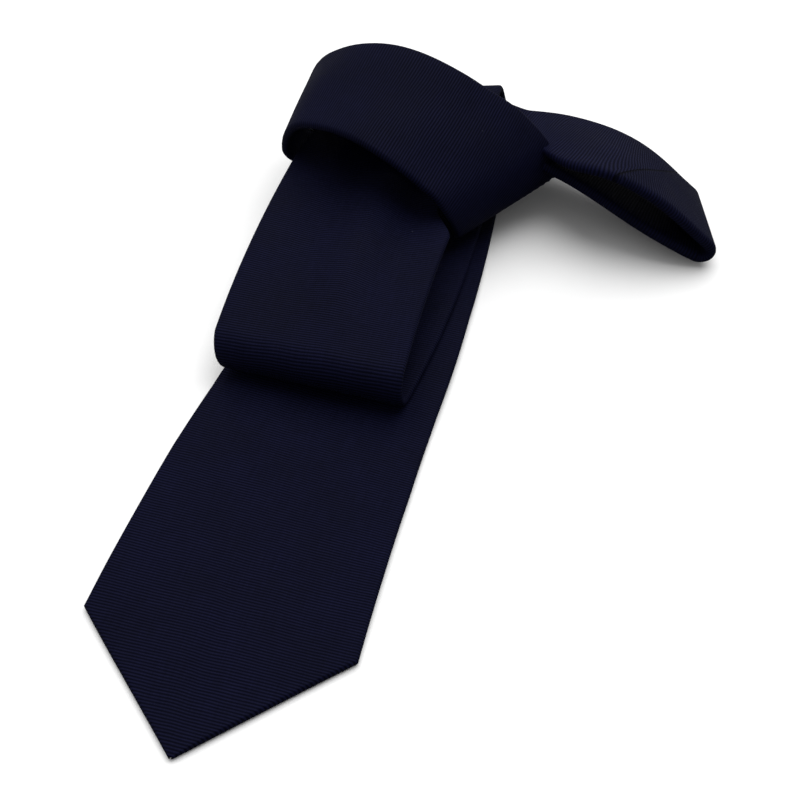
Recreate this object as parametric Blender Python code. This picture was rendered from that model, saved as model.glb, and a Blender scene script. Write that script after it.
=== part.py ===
"""A gentleman's necktie, folded over and rolled into a loose knot-like band.

The tie is a long flat strip with a pointed wide end and a pointed narrow end.
The strip is laid out flat first (distance along it, offset across it, height
through it) and then every fold is applied in order from the wide tip. All
lists are in millimetres and degrees. The tie lies on the XY plane, its wide
blade runs along +Y and +Z is up.
"""
import math

import bpy
import numpy as np

MM = 0.001

# The flat strip
TIE_LENGTH = 1298.0
WIDTHS = [
    (0.0, 0.8), (43.0, 86.0), (110.0, 82.8), (200.0, 73.8), (300.0, 69.6),
    (475.0, 66.5), (600.0, 71.0), (700.0, 49.5), (760.0, 55.5), (850.0, 44.1),
    (950.0, 41.5), (1050.0, 43.8), (1150.0, 40.8), (1276.0, 44.0), (1298.0, 0.8),
]
# How far the centre line turns to the left of straight ahead
HEADINGS = [
    (0.0, 0.0), (30.0, 0.0), (90.0, -2.0), (150.0, -5.8), (220.0, 0.0),
    (300.0, 4.6), (390.0, 5.0), (500.0, 16.5), (600.0, 8.3), (700.0, 9.3),
    (800.0, 3.1), (900.0, 26.2), (1000.0, 35.9), (1100.0, -17.7), (1298.0, -17.7),
]
# Folds in order: distance, skew of the fold line, centre radius, signed turn
FOLDS = [
    (314.0, -1.7, 1.9, 180.0),
    (486.5, -5.3, 7.1, -177.2),
    (661.6, 19.7, 6.7, -179.0),
    (734.3, -18.8, 5.9, -90.0),
    (748.0, -29.2, 25.4, -38.7),
    (796.4, 2.2, 57.9, -82.3),
    (848.3, 11.3, 25.0, -56.4),
    (865.6, 11.7, 5.7, -91.1),
    (942.4, 39.2, 25.0, -22.5),
    (966.3, 1.5, 25.0, 43.7),
    (1034.9, -7.5, 3.6, -162.1),
    (1057.5, -6.0, 25.0, -5.9),
    (1095.2, 15.4, 52.4, -61.6),
    (1128.0, -5.7, 25.0, 21.0),
    (1195.0, 0.0, 1.7, 180.0),
    (1240.0, 0.0, 1.7, -180.0),
]
# The strip is drawn together where it squeezes past another layer: share of the
# half width that is left, on its left side and on its right side
LEFT_DRAWN = [
    (0.0, 1.0), (866.0, 1.0), (883.0, 0.83), (927.0, 0.83), (941.0, -0.2),
    (961.0, -0.2), (979.0, 1.0), (1104.0, 1.0), (1113.0, 0.0), (1124.0, 0.0),
    (1140.0, 0.8), (1150.0, 1.0), (1298.0, 1.0),
]
RIGHT_DRAWN = [
    (0.0, 1.0), (563.0, 1.0), (575.0, 0.74), (588.0, 0.78), (604.0, 1.0),
    (865.0, 1.0), (877.0, 0.78), (937.0, 0.78), (953.0, 1.0), (1298.0, 1.0),
]
# Small pushes in Y and Z after folding
NUDGES = [
    (0.0, 0.0, 0.0), (975.0, 0.0, 0.0), (1000.0, -1.5, 1.5), (1020.0, -2.4, 2.4),
    (1045.0, -2.4, 2.4), (1070.0, 0.0, 0.0), (1104.0, 0.0, 0.0), (1114.0, 6.0, 0.0),
    (1124.0, 6.0, 1.0), (1135.0, 5.0, 3.5), (1150.0, 3.0, 4.2), (1298.0, 3.0, 4.2),
]
START_HEIGHT = 1.5
# The blade is raised a little where the loop and the labels lie under it
RAISED = [(0.0, 0.0), (140.0, 0.0), (152.0, 0.7), (262.0, 0.7), (280.0, 0.0), (1400.0, 0.0)]

# Through the thickness: the silk wraps the interlining
SILK_OUT = 1.2
SILK_IN = 0.85
LINING_TOP = 0.55
LINING_LOW = -0.35
EDGE_ROUND = 1.2
EDGE_WALL = 0.55
LINING_INSET = 1.6
FLAP_GAP = 0.9
HEM = 11.0
TIPPING_TOP = -0.5
TIPPING_LOW = -0.72

# Where the strip is cut into its pieces
HINGE = 126.0
NECK_SEAM = 700.0
NECK_SKEW = 45.0
TAIL_SEAM = 1069.0
TAIL_SKEW = -42.0
CUT_GAP = 0.7
STEP = 1.0
RING_SPACING = 24.0
NECK_BOW = 940.0
BOW_SPACING = 12.0
RING_TURN = 26.0


def row_value(rows, s):
    """The value of a list of rows at a distance along the tie."""
    return np.interp(s, [row[0] for row in rows], [row[1] for row in rows])


def centre_line():
    """Distances, positions and headings of the flat strip's centre line."""
    s = np.arange(-10.0, TIE_LENGTH + 10.0 + STEP, STEP)
    heading = np.radians(row_value(HEADINGS, s))
    x = np.concatenate([[0.0], np.cumsum(-np.sin(heading[:-1]) * STEP)])
    y = np.concatenate([[0.0], np.cumsum(np.cos(heading[:-1]) * STEP)])
    return s, x, y - 10.0, heading


LINE = centre_line()


def flat_frame(s):
    """The centre point and heading at a distance along the flat strip."""
    x = np.interp(s, LINE[0], LINE[1])
    y = np.interp(s, LINE[0], LINE[2])
    return x, y, np.interp(s, LINE[0], LINE[3])


def fold_shapes():
    """Each fold as origin, line direction, crossing direction, radius, turn and sign."""
    shapes = []
    for at, skew, radius, turn in FOLDS:
        x, y, heading = flat_frame(at)
        angle = heading + math.radians(skew)
        along = np.array([math.cos(angle), math.sin(angle), 0.0])
        across = np.array([-math.sin(angle), math.cos(angle), 0.0])
        length = radius * math.radians(abs(turn))
        origin = np.array([x, y, 0.0]) - across * length / 2
        shapes.append((origin, along, across, radius, length, math.copysign(1.0, turn)))
    return shapes


SHAPES = fold_shapes()
UP = np.array([0.0, 0.0, 1.0])


def folded(flat):
    """Flat points (x, y, height) carried through every fold, wide tip first."""
    out = np.array(flat, dtype=float)
    for origin, along, across, radius, length, sign in reversed(SHAPES):
        q = np.clip((flat - origin) @ across, 0.0, length)
        turn = q / radius
        d = out - origin
        rho = d @ along
        a = d @ across - q
        n = d @ UP
        c = np.cos(turn)
        k = np.sin(turn)
        side = a * c - n * sign * k + radius * k
        rise = a * sign * k + n * c + sign * radius * (1.0 - c)
        out = origin + np.outer(rho, along) + np.outer(side, across) + np.outer(rise, UP)
    out[:, 2] += START_HEIGHT
    return out


def fixed_lines():
    """Lines across the strip that must be there, as (distance, skew, locked)."""
    lines = []
    for at, skew, radius, turn in FOLDS:
        length = radius * math.radians(abs(turn))
        count = max(1, math.ceil(abs(turn) / RING_TURN))
        for k in range(count + 1):
            lines.append([at + (k / count - 0.5) * length, skew, False])
    for at, skew in ((HINGE, 0.0), (NECK_SEAM, NECK_SKEW), (TAIL_SEAM, TAIL_SKEW)):
        for side in (-1, 1):
            half = CUT_GAP / 2 / math.cos(math.radians(skew))
            lines.append([at + side * half, skew, True])
    for s in (1.0, 10.0, 22.0, 34.0, 43.0, 60.0, 80.0, 100.0, 118.0):
        lines.append([s, 0.0, True])
    for s in (152.0, 262.0, 280.0, 1254.0, 1276.0, 1284.0, 1292.0, TIE_LENGTH - 1.0):
        lines.append([s, 0.0, True])
    for s in (563.0, 569.0, 575.0, 588.0, 596.0, 604.0, 883.0, 905.0, 927.0, 955.0, 979.0):
        lines.append([s, 0.0, False])
    for s in (1108.0, 1113.0, 1140.0, 1150.0):
        lines.append([s, 0.0, False])
    return sorted(lines)


def half_width(s):
    return row_value(WIDTHS, s) / 2


def order_lines(lines):
    """Turns neighbouring lines towards each other until none of them cross."""
    for _ in range(400):
        for low, high in zip(lines[:-1], lines[1:]):
            reach = half_width((low[0] + high[0]) / 2) + 6.0
            room = (high[0] - low[0]) * 0.85 / reach
            a = math.tan(math.radians(low[1]))
            b = math.tan(math.radians(high[1]))
            if abs(b - a) <= room:
                continue
            excess = (abs(b - a) - room) / 2 * math.copysign(1.0, b - a)
            share = 2.0 if low[2] or high[2] else 1.0
            if not low[2]:
                low[1] = math.degrees(math.atan(a + excess * share))
            if not high[2]:
                high[1] = math.degrees(math.atan(b - excess * share))
    return lines


def widest_gap(low, high):
    """The largest distance along the strip between two lines, edges included."""
    reach = half_width((low[0] + high[0]) / 2)
    lean = math.tan(math.radians(high[1])) - math.tan(math.radians(low[1]))
    return high[0] - low[0] + abs(lean) * reach


def all_lines():
    """Every line across the strip, with plain ones filled in between the fixed ones."""
    fixed = order_lines(fixed_lines())
    lines = []
    for low, high in zip(fixed[:-1], fixed[1:]):
        lines.append((low[0], low[1]))
        spacing = RING_SPACING if low[0] < NECK_BOW else BOW_SPACING
        count = max(1, math.ceil(widest_gap(low, high) / spacing))
        for k in range(1, count):
            t = k / count
            skew = low[1] * (1 - t) + high[1] * t
            lines.append((low[0] * (1 - t) + high[0] * t, skew))
    lines.append((fixed[-1][0], fixed[-1][1]))
    return lines


LINES = all_lines()


def on_line(s, skew, offsets):
    """Flat positions on a line across the strip, and the distances they lie at."""
    x, y, heading = flat_frame(s)
    lean = math.radians(skew)
    rho = offsets / math.cos(lean)
    at = s + offsets * math.tan(lean)
    for _ in range(10):
        px = x + rho * math.cos(heading + lean)
        py = y + rho * math.sin(heading + lean)
        cx, cy, turn = flat_frame(at)
        at = at + (py - cy) * np.cos(turn) - (px - cx) * np.sin(turn)
        offset = (px - cx) * np.cos(turn) + (py - cy) * np.sin(turn)
        rho = rho + (offsets - offset) / math.cos(lean)
    return px, py, at


def edge(s, skew, side):
    """Where the strip's left (-1) or right (1) edge lies on a line, as an offset."""
    v = np.array([half_width(s) * side])
    for _ in range(6):
        at = on_line(s, skew, v)[2]
        v = half_width(at) * side
    drawn = LEFT_DRAWN if side < 0 else RIGHT_DRAWN
    return float(v[0] * row_value(drawn, at[0]))


def span(s, skew):
    """The middle of the strip on a line, and half its width there."""
    left = edge(s, skew, -1)
    right = edge(s, skew, 1)
    return (left + right) / 2, (right - left) / 2


def between(start, end):
    """The lines from one distance to another."""
    return [line for line in LINES if start - 1e-6 <= line[0] <= end + 1e-6]


def placed(s, skew, offsets, heights):
    """Points on one line in their final place, with the small pushes added."""
    px, py, at = on_line(s, skew, offsets)
    lift = row_value(RAISED, at)
    out = folded(np.stack([px, py, heights + lift], axis=1))
    out[:, 1] += row_value([row[:2] for row in NUDGES], at)
    out[:, 2] += row_value([row[::2] for row in NUDGES], at)
    return out


def slit(s, half):
    """Half the opening between the two flaps at the back, wider near both tips."""
    near = min(s, TIE_LENGTH - s)
    hem = HEM + max(0.0, near - 45.0) * 0.75
    return max(min(FLAP_GAP, half * 0.25), half - hem)


def shell_profile(s, skew):
    """The silk's section: a flat tube with a slit along the middle of its back."""
    middle, half = span(s, skew)
    small = min(1.0, half / 8.0)
    gap = slit(s, half)
    rows = []
    for height, wall, corner in ((SILK_OUT, 0.0, EDGE_ROUND), (SILK_IN, EDGE_WALL, LINING_INSET)):
        far = half - wall * small
        flat = half - corner * small
        mid = flat / 2 if gap < flat / 2 - 0.5 else (gap + flat) / 2
        offs = [-gap, -mid, -flat, -far, -far, -flat, -flat / 2]
        highs = [-height] * 3 + [-height * 0.45, height * 0.45, height, height]
        rows.append((offs + [0.0] + [-v for v in offs[::-1]], highs + [height] + highs[::-1]))
    offs = rows[0][0] + rows[1][0][::-1]
    highs = rows[0][1] + rows[1][1][::-1]
    return np.array(offs) + middle, np.array(highs)


def slab_profile(s, skew, low, high, inset):
    """A plain slab's section, narrower than the strip by the inset."""
    middle, half = span(s, skew)
    half = half - inset * min(1.0, half / 8.0)
    offs = np.array([-half, -half / 2, 0.0, half / 2, half])
    return np.concatenate([offs, offs[::-1]]) + middle, np.array([high] * 5 + [low] * 5)


def sweep(lines, profile):
    """Rings of folded points, one for each line, and the section's offsets."""
    rings = []
    for s, skew in lines:
        offsets, heights = profile(s, skew)
        rings.append(placed(s, skew, offsets, heights))
    return rings, offsets


def ring_faces(count, offsets):
    """Triangles that join the rings, split from the left of one to the right of the
    next, with both ends closed by rows of quads."""
    faces = []
    size = len(offsets)
    for i in range(count - 1):
        for j in range(size):
            k = (j + 1) % size
            a = i * size + j
            b = i * size + k
            c = b + size
            d = a + size
            if offsets[j] < offsets[k]:
                faces += [(a, b, c), (a, c, d)]
            else:
                faces += [(a, b, d), (b, c, d)]
    last = (count - 1) * size
    for j in range(size // 2 - 1):
        other = size - 1 - j
        faces.append((j, other, other - 1, j + 1))
        faces.append((last + j, last + j + 1, last + other - 1, last + other))
    return faces


def material(name, colour, roughness):
    mat = bpy.data.materials.new(name)
    mat.use_nodes = True
    shader = mat.node_tree.nodes["Principled BSDF"]
    shader.inputs["Base Color"].default_value = (*colour, 1.0)
    shader.inputs["Roughness"].default_value = roughness
    mat.diffuse_color = (*colour, 1.0)
    return mat


def add_piece(name, swept, colour, roughness):
    """One named object from its rings."""
    rings, offsets = swept
    points = np.concatenate(rings)
    faces = ring_faces(len(rings), offsets)
    mesh = bpy.data.meshes.new(name)
    mesh.from_pydata((points * MM).tolist(), [], faces)
    mesh.validate()
    mesh.update()
    obj = bpy.data.objects.new(name, mesh)
    bpy.context.scene.collection.objects.link(obj)
    mesh.materials.append(material(name + "_finish", colour, roughness))
    mesh.polygons.foreach_set("use_smooth", [True] * len(mesh.polygons))
    return obj


def shell(name, start, end):
    return add_piece(name, sweep(between(start, end), shell_profile), (0.012, 0.014, 0.035), 0.6)


def lining(name, start, end):
    def profile(s, skew):
        return slab_profile(s, skew, LINING_LOW, LINING_TOP, LINING_INSET)
    return add_piece(name, sweep(between(start, end), profile), (0.55, 0.55, 0.52), 0.9)


def tipping(name, start, end):
    def profile(s, skew):
        return slab_profile(s, skew, TIPPING_LOW, TIPPING_TOP, 2.4)
    return add_piece(name, sweep(between(start, end), profile), (0.01, 0.01, 0.02), 0.5)


def patch(name, start, end, left, right, low, high, colour):
    """A small flat rectangle on the strip, given by its distances and offsets."""
    rings = []
    for s in np.linspace(start, end, 4):
        offs = np.linspace(left, right, 4)
        offsets = np.concatenate([offs, offs[::-1]])
        rings.append(placed(s, 0.0, offsets, np.array([high] * 4 + [low] * 4)))
    return add_piece(name, (rings, offsets), colour, 0.8)


def thread(name, start, end):
    """The long hand stitch that runs in the slit at the back."""
    def profile(s, skew):
        offs = np.array([-0.3, 0.3, 0.3, -0.3]) + span(s, skew)[0]
        return offs, np.array([-0.7, -0.7, -1.1, -1.1])
    return add_piece(name, sweep(between(start, end), profile), (0.02, 0.02, 0.05), 0.7)


def centre_on_origin(objects):
    """Moves the whole tie so its box stands on the origin."""
    points = np.concatenate([vertex_array(obj) for obj in objects])
    low = points.min(axis=0)
    high = points.max(axis=0)
    shift = np.array([-(low[0] + high[0]) / 2, -(low[1] + high[1]) / 2, -low[2]])
    shift = np.round(shift, 5)
    for obj in objects:
        moved = vertex_array(obj) + shift
        obj.data.vertices.foreach_set("co", moved.ravel())
        obj.data.update()
    print("shift", shift.tolist(), "size", (high - low).tolist())


def vertex_array(obj):
    co = np.zeros(len(obj.data.vertices) * 3)
    obj.data.vertices.foreach_get("co", co)
    return co.reshape(-1, 3)


def clear_scene():
    for obj in list(bpy.data.objects):
        bpy.data.objects.remove(obj, do_unlink=True)


def build():
    clear_scene()
    end = TIE_LENGTH - 1.0
    dark = (0.02, 0.02, 0.03)
    pieces = [
        shell("blade_front_shell", 1.0, HINGE),
        shell("blade_shell", HINGE, NECK_SEAM),
        shell("neck_shell", NECK_SEAM, TAIL_SEAM),
        shell("tail_shell", TAIL_SEAM, end),
        lining("blade_front_interlining", 10.0, HINGE),
        lining("blade_interlining", HINGE, NECK_SEAM),
        lining("neck_interlining", NECK_SEAM, TAIL_SEAM),
        lining("tail_interlining", TAIL_SEAM, 1292.0),
        tipping("blade_tipping", 10.0, 118.0),
        tipping("tail_tipping", 1254.0, 1292.0),
        patch("blade_bar_tack", 104.0, 108.0, -0.5, 0.5, -1.15, -0.9, dark),
        patch("keeper_loop", 196.0, 210.0, -24.0, 24.0, -1.75, -1.45, (0.012, 0.014, 0.035)),
        patch("maker_label", 156.0, 182.0, -24.0, 24.0, -1.7, -1.45, (0.3, 0.3, 0.32)),
        patch("care_label", 222.0, 252.0, -28.0, -8.0, -1.65, -1.45, (0.8, 0.8, 0.8)),
        thread("slip_stitch", 152.0, 1254.0),
    ]
    centre_on_origin(pieces)


build()
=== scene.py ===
import math

import bpy
import numpy as np
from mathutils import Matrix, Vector


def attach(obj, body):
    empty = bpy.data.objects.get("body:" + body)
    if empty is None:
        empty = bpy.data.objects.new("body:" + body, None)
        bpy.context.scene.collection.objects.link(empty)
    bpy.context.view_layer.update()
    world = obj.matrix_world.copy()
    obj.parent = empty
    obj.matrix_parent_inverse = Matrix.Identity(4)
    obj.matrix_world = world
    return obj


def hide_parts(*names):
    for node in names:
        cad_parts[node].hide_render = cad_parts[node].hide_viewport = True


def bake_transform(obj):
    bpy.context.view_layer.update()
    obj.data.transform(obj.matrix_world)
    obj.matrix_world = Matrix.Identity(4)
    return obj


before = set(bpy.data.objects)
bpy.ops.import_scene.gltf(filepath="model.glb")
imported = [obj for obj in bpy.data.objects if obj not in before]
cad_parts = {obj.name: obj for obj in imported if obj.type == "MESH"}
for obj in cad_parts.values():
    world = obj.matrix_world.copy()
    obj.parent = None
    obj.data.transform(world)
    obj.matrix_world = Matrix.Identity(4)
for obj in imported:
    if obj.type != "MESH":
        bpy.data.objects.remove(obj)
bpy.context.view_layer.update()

# ---------------------------------------------------------------- the strip
# The tie is one strip, drawn flat in millimetres: s is the distance from the wide point, v the offset to the
# right of the centre line, and heights count from the middle of the cloth. FOLDS then fold it up in order.
MM = 0.001
# from the wide point, where the folding starts, to the frame's own origin
SHIFT = np.array([-43.36, -160.91, -0.3])
LENGTH = 1298.0
MIDDLE_HEIGHT = 1.5
HALF_THICK = 1.25
SILK_THICK = 0.35
# beyond this half width the cloth has its full rounded edge; it is finer towards the points
FULL_EDGE = 8.0
# distance and width
WIDTHS = [
    (0.0, 0.8), (43.0, 86.0), (110.0, 82.8), (200.0, 73.8), (300.0, 69.6),
    (475.0, 66.5), (600.0, 71.0), (700.0, 49.5), (760.0, 55.5), (850.0, 44.1),
    (950.0, 41.5), (1050.0, 43.8), (1150.0, 40.8), (1276.0, 44.0), (1298.0, 0.8),
]
# distance and heading of the centre line, in degrees to the left
HEADINGS = [
    (0.0, 0.0), (30.0, 0.0), (90.0, -2.0), (150.0, -5.8), (220.0, 0.0),
    (300.0, 4.6), (390.0, 5.0), (500.0, 16.5), (600.0, 8.3), (700.0, 9.3),
    (800.0, 3.1), (900.0, 26.2), (1000.0, 35.9), (1100.0, -17.7), (1298.0, -17.7),
]
# distance, skew of the fold line in degrees, radius and signed turn in degrees
FOLDS = [
    (314.0, -1.7, 1.9, 180.0), (486.5, -5.3, 7.1, -177.2), (661.6, 19.7, 6.7, -179.0),
    (734.3, -18.8, 5.9, -90.0), (748.0, -29.2, 25.4, -38.7), (796.4, 2.2, 57.9, -82.3),
    (848.3, 11.3, 25.0, -56.4), (865.6, 11.7, 5.7, -91.1), (942.4, 39.2, 25.0, -22.5),
    (966.3, 1.5, 25.0, 43.7), (1034.9, -7.5, 3.6, -162.1), (1057.5, -6.0, 25.0, -5.9),
    (1095.2, 15.4, 52.4, -61.6), (1128.0, -5.7, 25.0, 21.0), (1195.0, 0.0, 1.7, 180.0),
    (1240.0, 0.0, 1.7, -180.0),
]
# distance and how much of its half width each edge keeps where the cloth gathers or spreads
LEFT_DRAWN = [
    (0.0, 1.0), (43.0, 1.008), (300.0, 1.018), (480.0, 1.0), (500.0, 1.045), (640.0, 1.045),
    (665.0, 1.0), (866.0, 1.0), (883.0, 0.83), (927.0, 0.83), (936.0, 0.2), (944.0, 0.2),
    (962.0, 1.0), (985.0, 1.0), (1008.0, 1.08), (1024.0, 1.04), (1036.0, 1.0), (1095.0, 1.0),
    (1103.0, 0.84), (1110.0, 0.5), (1117.0, 0.1), (1126.0, 0.1), (1140.0, 0.8), (1150.0, 1.0),
]
RIGHT_DRAWN = [
    (0.0, 1.0), (567.0, 1.0), (579.0, 0.76), (590.0, 0.78), (604.0, 1.0),
    (712.0, 1.0), (726.0, 1.08), (748.0, 1.08), (775.0, 1.0), (865.0, 1.0),
    (877.0, 0.78), (937.0, 0.78), (953.0, 1.0), (1018.0, 1.0), (1030.0, 0.88),
    (1041.0, 0.78), (1054.0, 0.9), (1070.0, 1.0), (1088.0, 1.07), (1106.0, 1.07), (1122.0, 1.0),
]
# distance, then how far the folded strip settles along X, Y and Z
NUDGES = [
    (708.0, 0.0, 0.0, 0.0), (726.0, 1.6, -1.4, 1.6), (748.0, 1.6, -1.8, 2.2), (775.0, 0.0, 0.0, 0.0),
    (790.0, 0.0, 0.0, 0.0), (815.0, -0.2, 0.0, 0.8), (836.0, -0.6, 0.0, 1.0), (856.0, -0.7, 0.0, 0.4),
    (880.0, -0.2, 0.0, 0.0), (900.0, 0.0, 0.0, 0.0), (925.0, 0.0, 0.0, 0.0), (942.0, -1.2, 5.0, -4.4),
    (960.0, -1.6, 6.6, -6.0), (972.0, -1.5, 6.2, -5.8), (984.0, -0.3, 1.2, -1.0), (990.0, 0.2, -0.6, 0.6),
    (1003.0, 0.6, -1.5, 2.0), (1020.0, 0.9, -2.4, 2.9), (1045.0, 0.9, -2.4, 2.9), (1070.0, 0.2, 0.0, 1.0),
    (1086.0, -0.3, 1.4, -0.4), (1100.0, -1.3, 5.8, -5.4), (1112.0, -1.8, 10.5, -7.0),
    (1126.0, -1.5, 11.0, -6.6), (1137.0, 0.0, 6.0, -0.5), (1150.0, 0.0, 1.5, 2.7),
]
# distance and how much fuller than pressed flat the cloth is
FULLNESS = [
    (735.0, 1.0), (760.0, 1.35), (845.0, 1.35), (866.0, 1.0),
    (935.0, 1.0), (965.0, 1.7), (1095.0, 1.7), (1110.0, 1.0),
]
# distance and reach of the soft rounding along the strip
ROUNDING = [
    (930.0, 0.0), (950.0, 9.0), (1005.0, 9.0), (1022.0, 2.0), (1048.0, 2.0), (1062.0, 8.0),
    (1090.0, 10.0), (1120.0, 10.0), (1138.0, 0.0),
]
# distance and how far the cloth stands up over the labels and the loop beneath it
RAISED = [(140.0, 0.0), (152.0, 0.7), (262.0, 0.7), (280.0, 0.0)]
# distance and skew of the two piecing seams
NECK_SEAM = (700.0, 45.0)
TAIL_SEAM = (1069.0, -42.0)


def table(rows, s):
    """A table's value at s, held level beyond its ends."""
    return np.interp(s, [row[0] for row in rows], [row[1] for row in rows])


def centre_line():
    """The flat strip's centre line in steps of 1 mm, with a lead beyond both ends."""
    lead = 10.0
    s = np.arange(-lead, LENGTH + lead + 1.0)
    heading = np.radians(table(HEADINGS, s))
    x = np.concatenate([[0.0], np.cumsum(-np.sin(heading[:-1]))])
    y = np.concatenate([[0.0], np.cumsum(np.cos(heading[:-1]))]) - lead
    return s, x, y, heading


LINE = centre_line()


def flat_frame(s):
    """Place and heading of the centre line at s."""
    return [np.interp(s, LINE[0], LINE[k]) for k in (1, 2, 3)]


def fold_shapes():
    """Each fold as where it starts, its two directions in the flat, its radius, arc length and sign."""
    shapes = []
    for at, skew, radius, turn in FOLDS:
        x, y, heading = flat_frame(at)
        angle = heading + math.radians(skew)
        along = np.array([math.cos(angle), math.sin(angle), 0.0])
        across = np.array([-math.sin(angle), math.cos(angle), 0.0])
        length = radius * math.radians(abs(turn))
        origin = np.array([x, y, 0.0]) - across * length / 2
        shapes.append((origin, along, across, radius, length, math.copysign(1.0, turn)))
    return shapes


SHAPES = fold_shapes()
UP = np.array([0.0, 0.0, 1.0])


def folded(flat):
    """Carry flat points through every fold, the last one first."""
    out = np.array(flat, dtype=float)
    for origin, along, across, radius, length, sign in reversed(SHAPES):
        arc = np.clip((flat - origin) @ across, 0.0, length)
        turn = arc / radius
        away = out - origin
        beyond = away @ across - arc
        height = away @ UP
        cosine = np.cos(turn)
        sine = np.sin(turn)
        side = beyond * cosine - height * sign * sine + radius * sine
        rise = beyond * sign * sine + height * cosine + sign * radius * (1.0 - cosine)
        out = origin + np.outer(away @ along, along) + np.outer(side, across) + np.outer(rise, UP)
    out[:, 2] += MIDDLE_HEIGHT
    return out


def half_width(s):
    return table(WIDTHS, s) / 2


def on_line(s, skew, offsets):
    """Flat points, with their own distances, where a skewed line through s has the given offsets."""
    x, y, heading = flat_frame(s)
    lean = math.radians(skew)
    rho = offsets / math.cos(lean)
    at = s + offsets * math.tan(lean)
    for _ in range(8):
        px = x + rho * math.cos(heading + lean)
        py = y + rho * math.sin(heading + lean)
        cx, cy, turn = flat_frame(at)
        at = at + (py - cy) * np.cos(turn) - (px - cx) * np.sin(turn)
        offset = (px - cx) * np.cos(turn) + (py - cy) * np.sin(turn)
        rho = rho + (offsets - offset) / math.cos(lean)
    return px, py, at


def edge(s, skew, side):
    """Offset of the left (-1) or right (1) edge on a skewed line through s."""
    v = np.array([half_width(s) * side])
    for _ in range(6):
        at = on_line(s, skew, v)[2]
        v = half_width(at) * side
    drawn = LEFT_DRAWN if side < 0 else RIGHT_DRAWN
    return float(v[0] * table(drawn, at[0]))


def span(s, skew):
    """Middle and half width of the strip on a skewed line through s."""
    left = edge(s, skew, -1)
    right = edge(s, skew, 1)
    return (left + right) / 2, (right - left) / 2


# ------------------------------------------------------- lines across the strip
# distances where a line may lean with its neighbours, to follow an edge that is drawn in
FREE_LINES = (563, 569, 575, 588, 596, 604, 883, 905, 927, 955, 979, 1108, 1113, 1140, 1150)
# distances where a line stays square: the two points, the hem corners and the linings' ends
SQUARE_LINES = (0.15, 1, 2, 4, 7, 10, 22, 34, 41, 43, 45, 60, 80, 100, 118, 152, 262, 280, 1254, 1276, 1290)
SEAM_LINES = (-2.0, -0.9, -0.3, -0.004, 0.004, 0.3, 0.9, 2.0)


def fold_lines(step):
    """[distance, skew, held] of the lines that the folds, seams, points and gathers need."""
    lines = []
    for at, skew, radius, turn in FOLDS:
        length = radius * math.radians(abs(turn))
        count = max(2, math.ceil(abs(turn) / step))
        for k in range(count + 1):
            lines.append([at + (k / count - 0.5) * length, skew, False])
    for s in FREE_LINES:
        lines.append([float(s), 0.0, False])
    for s in SQUARE_LINES:
        lines.append([float(s), 0.0, True])
    lines.append([LENGTH - 0.5, 0.0, True])
    for at, skew in (NECK_SEAM, TAIL_SEAM):
        for off in SEAM_LINES:
            lines.append([at + off / math.cos(math.radians(skew)), skew, True])
    return sorted(lines)


def order_lines(lines):
    """Turn the free lines until no two neighbours cross inside the strip or close beside it."""
    passes = 500
    beside = 6.0
    safe_share = 0.85
    for _ in range(passes):
        moved = False
        for low, high in zip(lines[:-1], lines[1:]):
            reach = half_width((low[0] + high[0]) / 2) + beside
            room = (high[0] - low[0]) * safe_share / reach
            a = math.tan(math.radians(low[1]))
            b = math.tan(math.radians(high[1]))
            if abs(b - a) <= room + 1e-6:
                continue
            excess = (abs(b - a) - room) / 2 * math.copysign(1.0, b - a)
            share = 2.0 if low[2] or high[2] else 1.0
            if not low[2]:
                low[1] = math.degrees(math.atan(a + excess * share))
                moved = True
            if not high[2]:
                high[1] = math.degrees(math.atan(b - excess * share))
                moved = True
        if not moved:
            break
    return lines


def all_lines(step, spacing):
    """Every line, at most step degrees apart in a fold and about spacing millimetres apart elsewhere."""
    fixed = order_lines(fold_lines(step))
    lines = []
    for low, high in zip(fixed[:-1], fixed[1:]):
        lines.append((low[0], low[1]))
        reach = half_width((low[0] + high[0]) / 2)
        lean = math.tan(math.radians(high[1])) - math.tan(math.radians(low[1]))
        count = max(1, math.ceil((high[0] - low[0] + abs(lean) * reach) / spacing))
        for k in range(1, count):
            t = k / count
            lines.append((low[0] * (1 - t) + high[0] * t, low[1] * (1 - t) + high[1] * t))
    lines.append((fixed[-1][0], fixed[-1][1]))
    return lines


FINE = all_lines(9.0, 4.0)
COARSE = all_lines(20.0, 8.0)


# ------------------------------------------------------------- soft shape detail
# two ends (distance, offset), height and width of each ridge or hollow on the top layer
TOP_RIDGES = [
    ((512, 3), (604, 5), 2.2, 8.0), ((528, 19), (612, 17), -1.7, 7.0), ((535, -14), (612, -9), -1.5, 7.5),
]
# which side of the wide point, and how much the lining under it lifts that side
POINT_SWELLS = ((-1, 0.65), (1, 0.25))
ROOT_TWO = 1.414


def bump(x, centre, wide):
    return np.exp(-((x - centre) / wide) ** 2)


def ridge(s, v, a, b, wide):
    """1 along the line from a to b, given as (distance, offset), falling off sideways."""
    ds = b[0] - a[0]
    dv = b[1] - a[1]
    length = math.hypot(ds, dv)
    t = ((s - a[0]) * ds + (v - a[1]) * dv) / length
    d = ((s - a[0]) * -dv + (v - a[1]) * ds) / length
    inside = 1 / (1 + np.exp(-(t / 6.0))) / (1 + np.exp((t - length) / 6.0))
    return inside * np.exp(-(d / wide) ** 2)


def window(s, start, end, soft=8.0):
    """1 between two distances, with soft ends."""
    return 1 / (1 + np.exp(-(s - start) / soft)) / (1 + np.exp((s - end) / soft))


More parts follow.
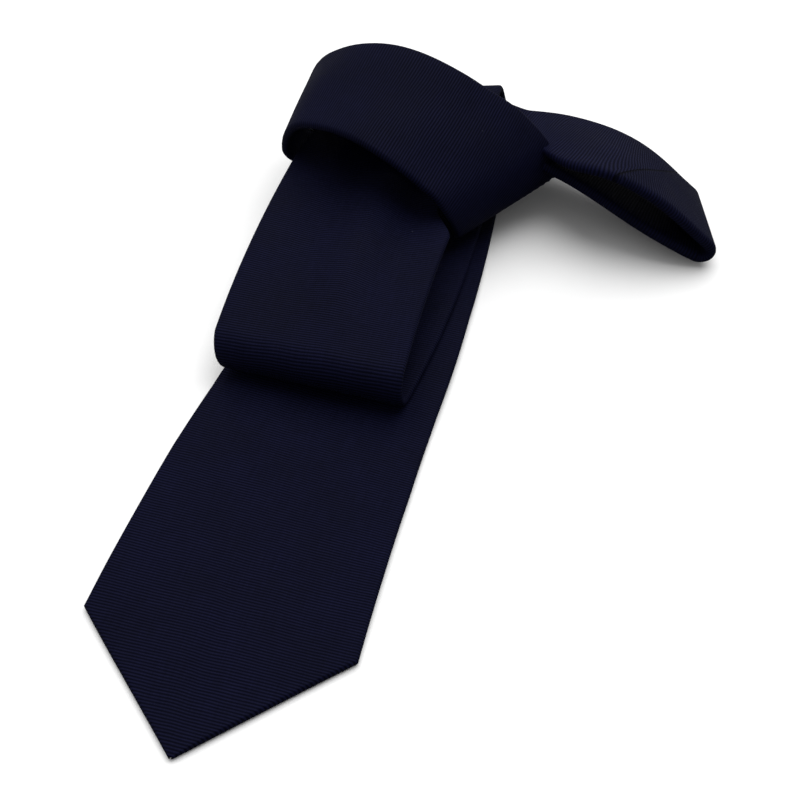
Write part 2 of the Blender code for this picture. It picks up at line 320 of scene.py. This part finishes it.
def relief(s, v):
    """How far the cloth stands off its smooth folded shape, in millimetres."""
    # slow swells on the wide point, fuller on its left side
    out = bump(s, 80, 55) * 0.15 * (1 + np.sin(v / 9.0 + s / 31.0))
    for side, tall in POINT_SWELLS:
        on_side = np.where(v * side > 0, 1.0, 0.0)
        from_hem = np.clip((s - side * v) / ROOT_TWO, 0.0, 30.0)
        from_middle = np.clip(np.abs(v) / 6.0, 0.0, 1.0)
        out = out + on_side * bump(s, 20, 60) * tall * (1 - np.exp(-((from_hem / 9.0) ** 2))) * from_middle
    # the top layer buckles along its length
    top = window(s, 512, 632)
    for start, end, tall, wide in TOP_RIDGES:
        out = out + top * tall * ridge(s, v, start, end, wide)
    out = out + top * 0.5 * np.sin(v / 8.0 + s / 40.0)
    # waves along the middle of the band and of the narrow part
    band = window(s, 750, 842, 6.0)
    out = out + band * 0.7 * np.sin(s / 12.0 + v / 15.0) * bump(v, 0, 18)
    tail = window(s, 985, 1012, 6.0) + window(s, 1062, 1100, 6.0)
    out = out + tail * 0.45 * np.sin(s / 9.0 - v / 10.0) * bump(v, 0, 14)
    return out


def placed(s, skew, offsets, heights):
    """One section's points in the frame's metres, and their own distances along the strip."""
    px, py, at = on_line(s, skew, offsets)
    soft = relief(at, offsets)
    out = folded(np.stack([px, py, heights + table(RAISED, at) + soft], axis=1))
    for axis in range(3):
        out[:, axis] += np.interp(at, [r[0] for r in NUDGES], [r[axis + 1] for r in NUDGES])
    return (out + SHIFT) * MM, at


# ----------------------------------------------------------------- cloth meshes
def seam_dip(s):
    """How far a piecing seam is pressed into the cloth."""
    near = min(abs(s - NECK_SEAM[0]), abs(s - TAIL_SEAM[0]))
    depth = 0.3
    reach = 1.1
    return depth * math.exp(-(near / reach) ** 2)


def slit(s, half):
    """Half the gap between the two back facings: a seam, but open over the lining at both points."""
    near = min(s, LENGTH - s)
    seam_gap = 0.45
    hem_width = 11.0
    hem_end = 45.0
    closing = 0.75
    hem = hem_width + max(0.0, near - hem_end) * closing
    return max(min(seam_gap, half * 0.25), half - hem)


def wall_outline(high, far, flat, gap):
    """One wall of the silk: from the gap round the left edge, over the front and round the right edge."""
    back_count = 7
    edge_count = 6
    front_count = 9
    turn = np.linspace(-math.pi / 2, math.pi / 2, edge_count + 2)[1:-1]
    offsets = list(np.linspace(gap, flat, back_count))
    offsets += [flat + (far - flat) * math.cos(a) for a in turn]
    offsets += list(np.linspace(flat, 0.0, front_count))
    heights = [-high] * back_count + [high * math.sin(a) for a in turn] + [high] * front_count
    left = [-v for v in offsets]
    return left + offsets[:-1][::-1], heights + heights[:-1][::-1]


def cloth_profile(s, skew):
    """Offsets and heights round the silk: its outer wall, then its inner wall back again."""
    middle, half = span(s, skew)
    small = min(1.0, half / FULL_EDGE)
    gap = slit(s, half)
    # over the last 7 mm the cloth thins to 0.3 of its thickness
    taper = min(1.0, 0.3 + 0.7 * math.sqrt(min(s, LENGTH - s) / 7.0))
    full = HALF_THICK * float(table(FULLNESS, s))
    wall = 0.4
    outer = wall_outline(full - seam_dip(s), half, half - full * small, gap)
    inner = wall_outline(full - SILK_THICK, half - wall * small, half - (full + SILK_THICK) * small, gap)
    offsets = outer[0] + inner[0][::-1]
    heights = outer[1] + inner[1][::-1]
    return np.array(offsets) + middle, np.array(heights) * taper


def slab_profile(low, high, inset):
    """A flat layer inside the silk, between two heights."""
    count = 9

    def profile(s, skew):
        middle, half = span(s, skew)
        half = half - inset * min(1.0, half / FULL_EDGE)
        offsets = np.linspace(-half, half, count)
        return np.concatenate([offsets, offsets[::-1]]) + middle, np.array([high] * count + [low] * count)
    return profile


def thread_profile(s, skew):
    """A fine thread that snakes along the centre seam on the back."""
    middle = span(s, skew)[0]
    radius = 0.24
    sides = 6
    turn = np.linspace(0.0, 2 * math.pi, sides, endpoint=False)
    back = -HALF_THICK * float(table(FULLNESS, s)) - 0.02
    sway = middle + 0.35 * math.sin(s * 0.9)
    return sway + radius * np.cos(turn), back + radius * np.sin(turn)


def rings(lines, profile):
    """Every section along the whole strip, softly rounded along it: distances, points and flat places."""
    where = np.array([line[0] for line in lines])
    points = []
    flat = []
    for s, skew in lines:
        offsets, heights = profile(s, skew)
        xyz, at = placed(s, skew, offsets, heights)
        points.append(xyz)
        flat.append(np.stack([offsets * MM, at * MM, np.zeros_like(at)], axis=1))
    points = np.array(points)
    share = np.gradient(where)
    smooth = points.copy()
    least_reach = 0.5
    for i, s in enumerate(where):
        reach = float(table(ROUNDING, s))
        if reach > least_reach:
            weight = share * np.exp(-(((where - s) / reach) ** 2))
            smooth[i] = np.tensordot(weight, points, axes=1) / weight.sum()
    return where, smooth, np.array(flat)


def strip_mesh(name, ring_set, start, end):
    """A closed strip between two distances, with its flat position kept for the weave."""
    where, points, flat = ring_set
    slack = 1e-6
    chosen = (where >= start - slack) & (where <= end + slack)
    points = points[chosen]
    flat = flat[chosen]
    size = points.shape[1]
    faces = []
    for i in range(len(points) - 1):
        for j in range(size):
            k = (j + 1) % size
            faces.append((i * size + j, i * size + k, (i + 1) * size + k, (i + 1) * size + j))
    last = (len(points) - 1) * size
    for j in range(size // 2 - 1):
        other = size - 1 - j
        faces.append((j, other, other - 1, j + 1))
        faces.append((last + j, last + j + 1, last + other - 1, last + other))
    mesh = bpy.data.meshes.new(name)
    mesh.from_pydata(points.reshape(-1, 3).tolist(), [], faces)
    mesh.update()
    attribute = mesh.attributes.new("flat", "FLOAT_VECTOR", "POINT")
    attribute.data.foreach_set("vector", flat.ravel())
    line = mesh.attributes.new("line", "FLOAT", "POINT")
    line.data.foreach_set("value", np.repeat(where[chosen], size))
    mesh.polygons.foreach_set("use_smooth", [True] * len(mesh.polygons))
    obj = bpy.data.objects.new(name, mesh)
    bpy.context.scene.collection.objects.link(obj)
    return obj


# -------------------------------------------------------------------- materials
NAVY = (0.0031, 0.0034, 0.0128)
LINT = (0.16, 0.17, 0.22, 1.0)
RIB_PITCH = 0.00105
THREAD_PITCH = 0.00036


class Nodes:
    """A small helper that adds and links shader nodes."""

    def __init__(self, name):
        self.mat = bpy.data.materials.new(name)
        self.mat.use_nodes = True
        self.tree = self.mat.node_tree
        self.shader = self.tree.nodes["Principled BSDF"]

    def add(self, kind, values=None, **settings):
        node = self.tree.nodes.new(kind)
        for key, value in settings.items():
            setattr(node, key, value)
        for key, value in (values or {}).items():
            self.put(node.inputs[key], value)
        return node

    def put(self, socket, value):
        if hasattr(value, "is_output"):
            self.tree.links.new(value, socket)
        else:
            socket.default_value = value

    def math(self, operation, a, b=0.0, c=0.0):
        node = self.add("ShaderNodeMath", operation=operation)
        for socket, value in zip(node.inputs, (a, b, c)):
            self.put(socket, value)
        return node.outputs[0]

    def noise(self, vector, scale, detail=2.0):
        values = {"Vector": vector, "Scale": scale, "Detail": detail}
        return self.add("ShaderNodeTexNoise", values).outputs["Fac"]

    def ramp(self, value, low, high, out_low=0.0, out_high=1.0):
        values = {"Value": value, "From Min": low, "From Max": high, "To Min": out_low, "To Max": out_high}
        return self.add("ShaderNodeMapRange", values).outputs["Result"]

    def scaled(self, vector, factors):
        values = {0: vector, 1: factors}
        return self.add("ShaderNodeVectorMath", values, operation="MULTIPLY").outputs[0]

    def wave(self, distance, per_unit):
        """0 to 1 and back, as a sine."""
        sine = self.math("SINE", self.math("MULTIPLY", distance, per_unit))
        return self.math("MULTIPLY_ADD", sine, 0.5, 0.5)

    def mix(self, amount, a, b):
        """Blend two colours. Inputs 6 and 7 and output 2 are this node's colour sockets."""
        node = self.add("ShaderNodeMix", {0: amount, 6: a, 7: b}, data_type="RGBA")
        return node.outputs[2]

    def set(self, **values):
        for key, value in values.items():
            self.put(self.shader.inputs[key.replace("_", " ")], value)


def silk(name, tone, blue, lean):
    """Dark navy ribbed silk: ribs across the strip, leaning a few degrees, fine threads along it and lint."""
    n = Nodes(name)
    place = n.add("ShaderNodeAttribute", attribute_name="flat").outputs["Vector"]
    part = n.add("ShaderNodeSeparateXYZ", {"Vector": place})
    v = part.outputs["X"]
    s = part.outputs["Y"]

    # the weave: ribs that wander a little, threads across them, thicker yarns and uneven dye
    wander = n.noise(place, 55.0)
    along = n.math("ADD", s, n.math("MULTIPLY", v, math.tan(math.radians(lean))))
    along = n.math("ADD", along, n.math("MULTIPLY", wander, 0.0012))
    rib = n.wave(along, 2 * math.pi / RIB_PITCH)
    across = n.math("ADD", v, n.math("MULTIPLY", n.noise(place, 160.0, 1.0), 0.0006))
    thread = n.wave(across, 2 * math.pi / THREAD_PITCH)
    slub = n.noise(n.scaled(place, (160.0, 2600.0, 1.0)), 1.0)
    warp = n.noise(n.scaled(place, (1900.0, 90.0, 1.0)), 1.0)
    cloud = n.noise(place, 38.0, 3.0)
    height = n.math("ADD", n.math("MULTIPLY", rib, 0.8), n.math("MULTIPLY", thread, 0.22))
    height = n.math("ADD", height, n.math("MULTIPLY", slub, 0.5))
    height = n.math("ADD", height, n.math("MULTIPLY", warp, 0.25))

    # the colour: navy, with painted shade between the ribs (lighter on their crests) and painted shade in the
    # grooves of the piecing seams, with a few specks of lint
    rib_shade_and_dye = n.ramp(rib, 0.0, 1.0, 0.35, 1.55)
    for value, low, high in ((slub, 0.82, 1.18), (warp, 0.88, 1.12), (cloud, 0.84, 1.16)):
        rib_shade_and_dye = n.math("MULTIPLY", rib_shade_and_dye, n.ramp(value, 0.3, 0.7, low, high))
    # painted shade in the grooves of the piecing seams: the colour falls to a quarter of the navy on each
    # seam line
    line = n.add("ShaderNodeAttribute", attribute_name="line").outputs["Fac"]
    seams = [n.math("ABSOLUTE", n.math("SUBTRACT", line, at[0])) for at in (NECK_SEAM, TAIL_SEAM)]
    painted_seam_shade = n.ramp(n.math("MINIMUM", *seams), 0.25, 0.9, 0.25, 1.0)
    red, green, deep = NAVY
    # tone and blue scale the navy; the tail's lighter, bluer copy is painted light
    navy_and_painted_light = (red * tone, green * tone, deep * tone * blue)
    base = n.add("ShaderNodeVectorMath", {0: navy_and_painted_light}, operation="SCALE")
    n.put(base.inputs["Scale"], n.math("MULTIPLY", rib_shade_and_dye, painted_seam_shade))
    lint = n.add("ShaderNodeTexVoronoi", {"Vector": place, "Scale": 95.0, "Randomness": 1.0})
    speck = n.ramp(lint.outputs["Distance"], 0.018, 0.03, 1.0, 0.0)
    pick = n.add("ShaderNodeSeparateXYZ", {"Vector": lint.outputs["Color"]}).outputs["X"]
    speck = n.math("MULTIPLY", speck, n.math("GREATER_THAN", pick, 0.80))
    colour = n.mix(n.math("MULTIPLY", speck, 0.12), base.outputs[0], LINT)

    rough = n.math("ADD", n.ramp(rib, 0.0, 1.0, 0.72, 0.5), n.ramp(cloud, 0.3, 0.7, -0.05, 0.06))
    raised = n.add("ShaderNodeBump", {"Strength": 0.55, "Distance": 0.00022, "Height": height})
    n.set(Base_Color=colour, Roughness=rough, Normal=raised.outputs[0])
    n.set(Specular_IOR_Level=0.03, Specular_Tint=(0.75, 0.78, 1.0, 1.0))
    n.set(Sheen_Weight=0.006, Sheen_Roughness=0.4)
    n.set(Sheen_Tint=(0.42, 0.47, 0.8, 1.0), Anisotropic=0.3)
    return n.mat


def plain_cloth(name, colour, scale, rough, strength=0.4, sheen=0.2):
    """A small plain weave in object space, for linings, tapes and thread."""
    n = Nodes(name)
    place = n.add("ShaderNodeTexCoord").outputs["Object"]
    part = n.add("ShaderNodeSeparateXYZ", {"Vector": place})
    a = n.math("SINE", n.math("MULTIPLY", part.outputs["X"], scale))
    b = n.math("SINE", n.math("MULTIPLY", part.outputs["Y"], scale))
    weave = n.math("MULTIPLY_ADD", n.math("MULTIPLY", a, b), 0.5, 0.5)
    cloud = n.noise(place, 60.0, 3.0)
    fibre = n.noise(place, 2400.0, 2.0)
    tone = n.math("MULTIPLY", n.ramp(weave, 0.0, 1.0, 0.8, 1.1), n.ramp(cloud, 0.3, 0.7, 0.88, 1.1))
    base = n.add("ShaderNodeVectorMath", {0: colour}, operation="SCALE")
    n.put(base.inputs["Scale"], tone)
    height = n.math("ADD", weave, n.math("MULTIPLY", fibre, 0.6))
    raised = n.add("ShaderNodeBump", {"Strength": strength, "Distance": 0.00015, "Height": height})
    n.set(Base_Color=base.outputs[0], Roughness=n.ramp(cloud, 0.3, 0.7, rough - 0.06, rough + 0.06))
    n.set(Normal=raised.outputs[0], Sheen_Weight=sheen)
    return n.mat


# ------------------------------------------------------------------- the pieces
START = 0.15
CANVAS_INSET = 2.4
SATIN_INSET = 1.9

CLOTH = rings(FINE, cloth_profile)
BLADE = strip_mesh("blade_cloth", CLOTH, START, NECK_SEAM[0])
NECK = strip_mesh("neck_cloth", CLOTH, NECK_SEAM[0], TAIL_SEAM[0])
TAIL = strip_mesh("tail_cloth", CLOTH, TAIL_SEAM[0], LENGTH)
BLADE.data.materials.append(silk("blade_silk", 1.0, 1.0, 3.0))
NECK.data.materials.append(silk("neck_silk", 1.0, 1.0, -4.0))
# the tail's silk is 12% lighter and 5% bluer than the blade's and neck's: painted light for the tail's
# brighter lit top
TAIL.data.materials.append(silk("tail_silk_painted_light", 1.12, 1.05, 5.0))

INNER = rings(FINE, slab_profile(-0.4, 0.6, CANVAS_INSET))
BLADE_INNER = strip_mesh("blade_canvas", INNER, 10.0, 699.0)
NECK_INNER = strip_mesh("neck_canvas", INNER, 701.0, 1067.0)
TAIL_INNER = strip_mesh("tail_canvas", INNER, 1071.0, 1290.0)
CANVAS = plain_cloth("canvas", (0.42, 0.41, 0.37), 5200.0, 0.88)
for piece in (BLADE_INNER, NECK_INNER, TAIL_INNER):
    piece.data.materials.append(CANVAS)

THREAD = plain_cloth("stitch_thread", (0.006, 0.0065, 0.02), 12000.0, 0.6, 0.4, 0.02)
STITCH = strip_mesh("seam_thread", rings(FINE, thread_profile), 153.0, 1253.0)
STITCH.data.materials.append(THREAD)

LINING = rings(COARSE, slab_profile(-0.72, -0.5, SATIN_INSET))
BLADE_TIP = strip_mesh("blade_satin", LINING, 7.0, 118.0)
TAIL_TIP = strip_mesh("tail_satin", LINING, 1254.0, 1290.0)
SATIN = plain_cloth("satin", (0.006, 0.007, 0.02), 9000.0, 0.32, 0.15, 0.05)
for piece in (BLADE_TIP, TAIL_TIP):
    piece.data.materials.append(SATIN)

# the CAD nodes that are shown as they are
LOOKS = {
    "keeper_loop": plain_cloth("loop_cloth", (0.0035, 0.004, 0.014), 6400.0, 0.6, 0.4, 0.02),
    "maker_label": plain_cloth("label_cloth", (0.012, 0.014, 0.035), 8200.0, 0.5, 0.4, 0.05),
    "care_label": plain_cloth("care_cloth", (0.62, 0.62, 0.6), 9800.0, 0.45),
    "blade_bar_tack": THREAD,
}
for node, look in LOOKS.items():
    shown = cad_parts[node]
    shown.data.materials.clear()
    shown.data.materials.append(look)

# the blade's pieces are baked into the frame; the other pieces are attached to the roll body
for piece in (BLADE, BLADE_INNER, BLADE_TIP):
    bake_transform(piece)
for piece in (NECK, TAIL, NECK_INNER, TAIL_INNER, TAIL_TIP, STITCH):
    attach(piece, "roll")
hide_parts("blade_front_shell", "blade_shell")
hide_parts("neck_shell")
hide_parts("tail_shell")
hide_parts("blade_front_interlining", "blade_interlining")
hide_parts("neck_interlining")
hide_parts("tail_interlining")
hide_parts("blade_tipping")
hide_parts("tail_tipping")
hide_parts("slip_stitch")


# ------------------------------------------------------------ floor, light, view
FLOOR_REACH = 60.0
FLOOR_Z = -0.0003
BOUNCE = (0.3, 0.3, 0.3, 1)
SKY_LIGHT = 0.42
SKY_SEEN = 1.0


def add_floor():
    """White paper that throws back less light than it shows, so the tie's underside stays dark."""
    mesh = bpy.data.meshes.new("floor")
    corners = [(FLOOR_REACH * x, FLOOR_REACH * y, 0) for x, y in ((-1, -1), (1, -1), (1, 1), (-1, 1))]
    mesh.from_pydata(corners, [], [(0, 1, 2, 3)])
    floor = bpy.data.objects.new("floor", mesh)
    floor.location.z = FLOOR_Z
    bpy.context.scene.collection.objects.link(floor)
    n = Nodes("paper")
    place = n.add("ShaderNodeTexCoord").outputs["Object"]
    grain = n.noise(place, 30.0, 4.0)
    paper = n.mix(n.ramp(grain, 0.3, 0.7), (0.92, 0.92, 0.92, 1), (0.95, 0.95, 0.95, 1))
    seen = n.add("ShaderNodeLightPath").outputs["Is Camera Ray"]
    n.set(Base_Color=n.mix(seen, BOUNCE, paper), Roughness=0.9)
    mesh.materials.append(n.mat)


def aim_at(thing, aim):
    thing.rotation_euler = (Vector(aim) - thing.location).to_track_quat("-Z", "Y").to_euler()
    bpy.context.scene.collection.objects.link(thing)


def add_light(name, place, power, spread):
    """A wide soft sun, shining from place to the origin."""
    data = bpy.data.lights.new(name, "SUN")
    data.energy = power
    data.angle = math.radians(spread)
    lamp = bpy.data.objects.new(name, data)
    lamp.location = place
    aim_at(lamp, (0, 0, 0))


def add_camera():
    """The photo's view: 45 degrees down and 13 degrees from the front, about half a metre away."""
    data = bpy.data.cameras.new("camera")
    data.lens = 63.0
    data.sensor_width = 36.0
    camera = bpy.data.objects.new("camera", data)
    camera.location = (0.06601, -0.34539, 0.34689)
    aim_at(camera, (-0.01386, -0.00751, FLOOR_Z))
    bpy.context.scene.camera = camera


def add_world():
    """Even soft light, seen as white beyond the floor's far edge."""
    world = bpy.data.worlds.new("studio")
    world.use_nodes = True
    tree = world.node_tree
    sky = tree.nodes["Background"]
    sky.inputs["Color"].default_value = (1.0, 1.0, 1.0, 1.0)
    seen = tree.nodes.new("ShaderNodeLightPath")
    level = tree.nodes.new("ShaderNodeMapRange")
    level.inputs["To Min"].default_value = SKY_LIGHT
    level.inputs["To Max"].default_value = SKY_SEEN
    tree.links.new(seen.outputs["Is Camera Ray"], level.inputs["Value"])
    tree.links.new(level.outputs["Result"], sky.inputs["Strength"])
    bpy.context.scene.world = world


add_floor()
add_light("top", (0.1, 0.5, 1.2), 2.7, 70.0)
add_light("side", (-1.0, 0.1, 0.6), 0.5, 40.0)
add_camera()
add_world()
bpy.context.scene.view_settings.view_transform = "Standard"
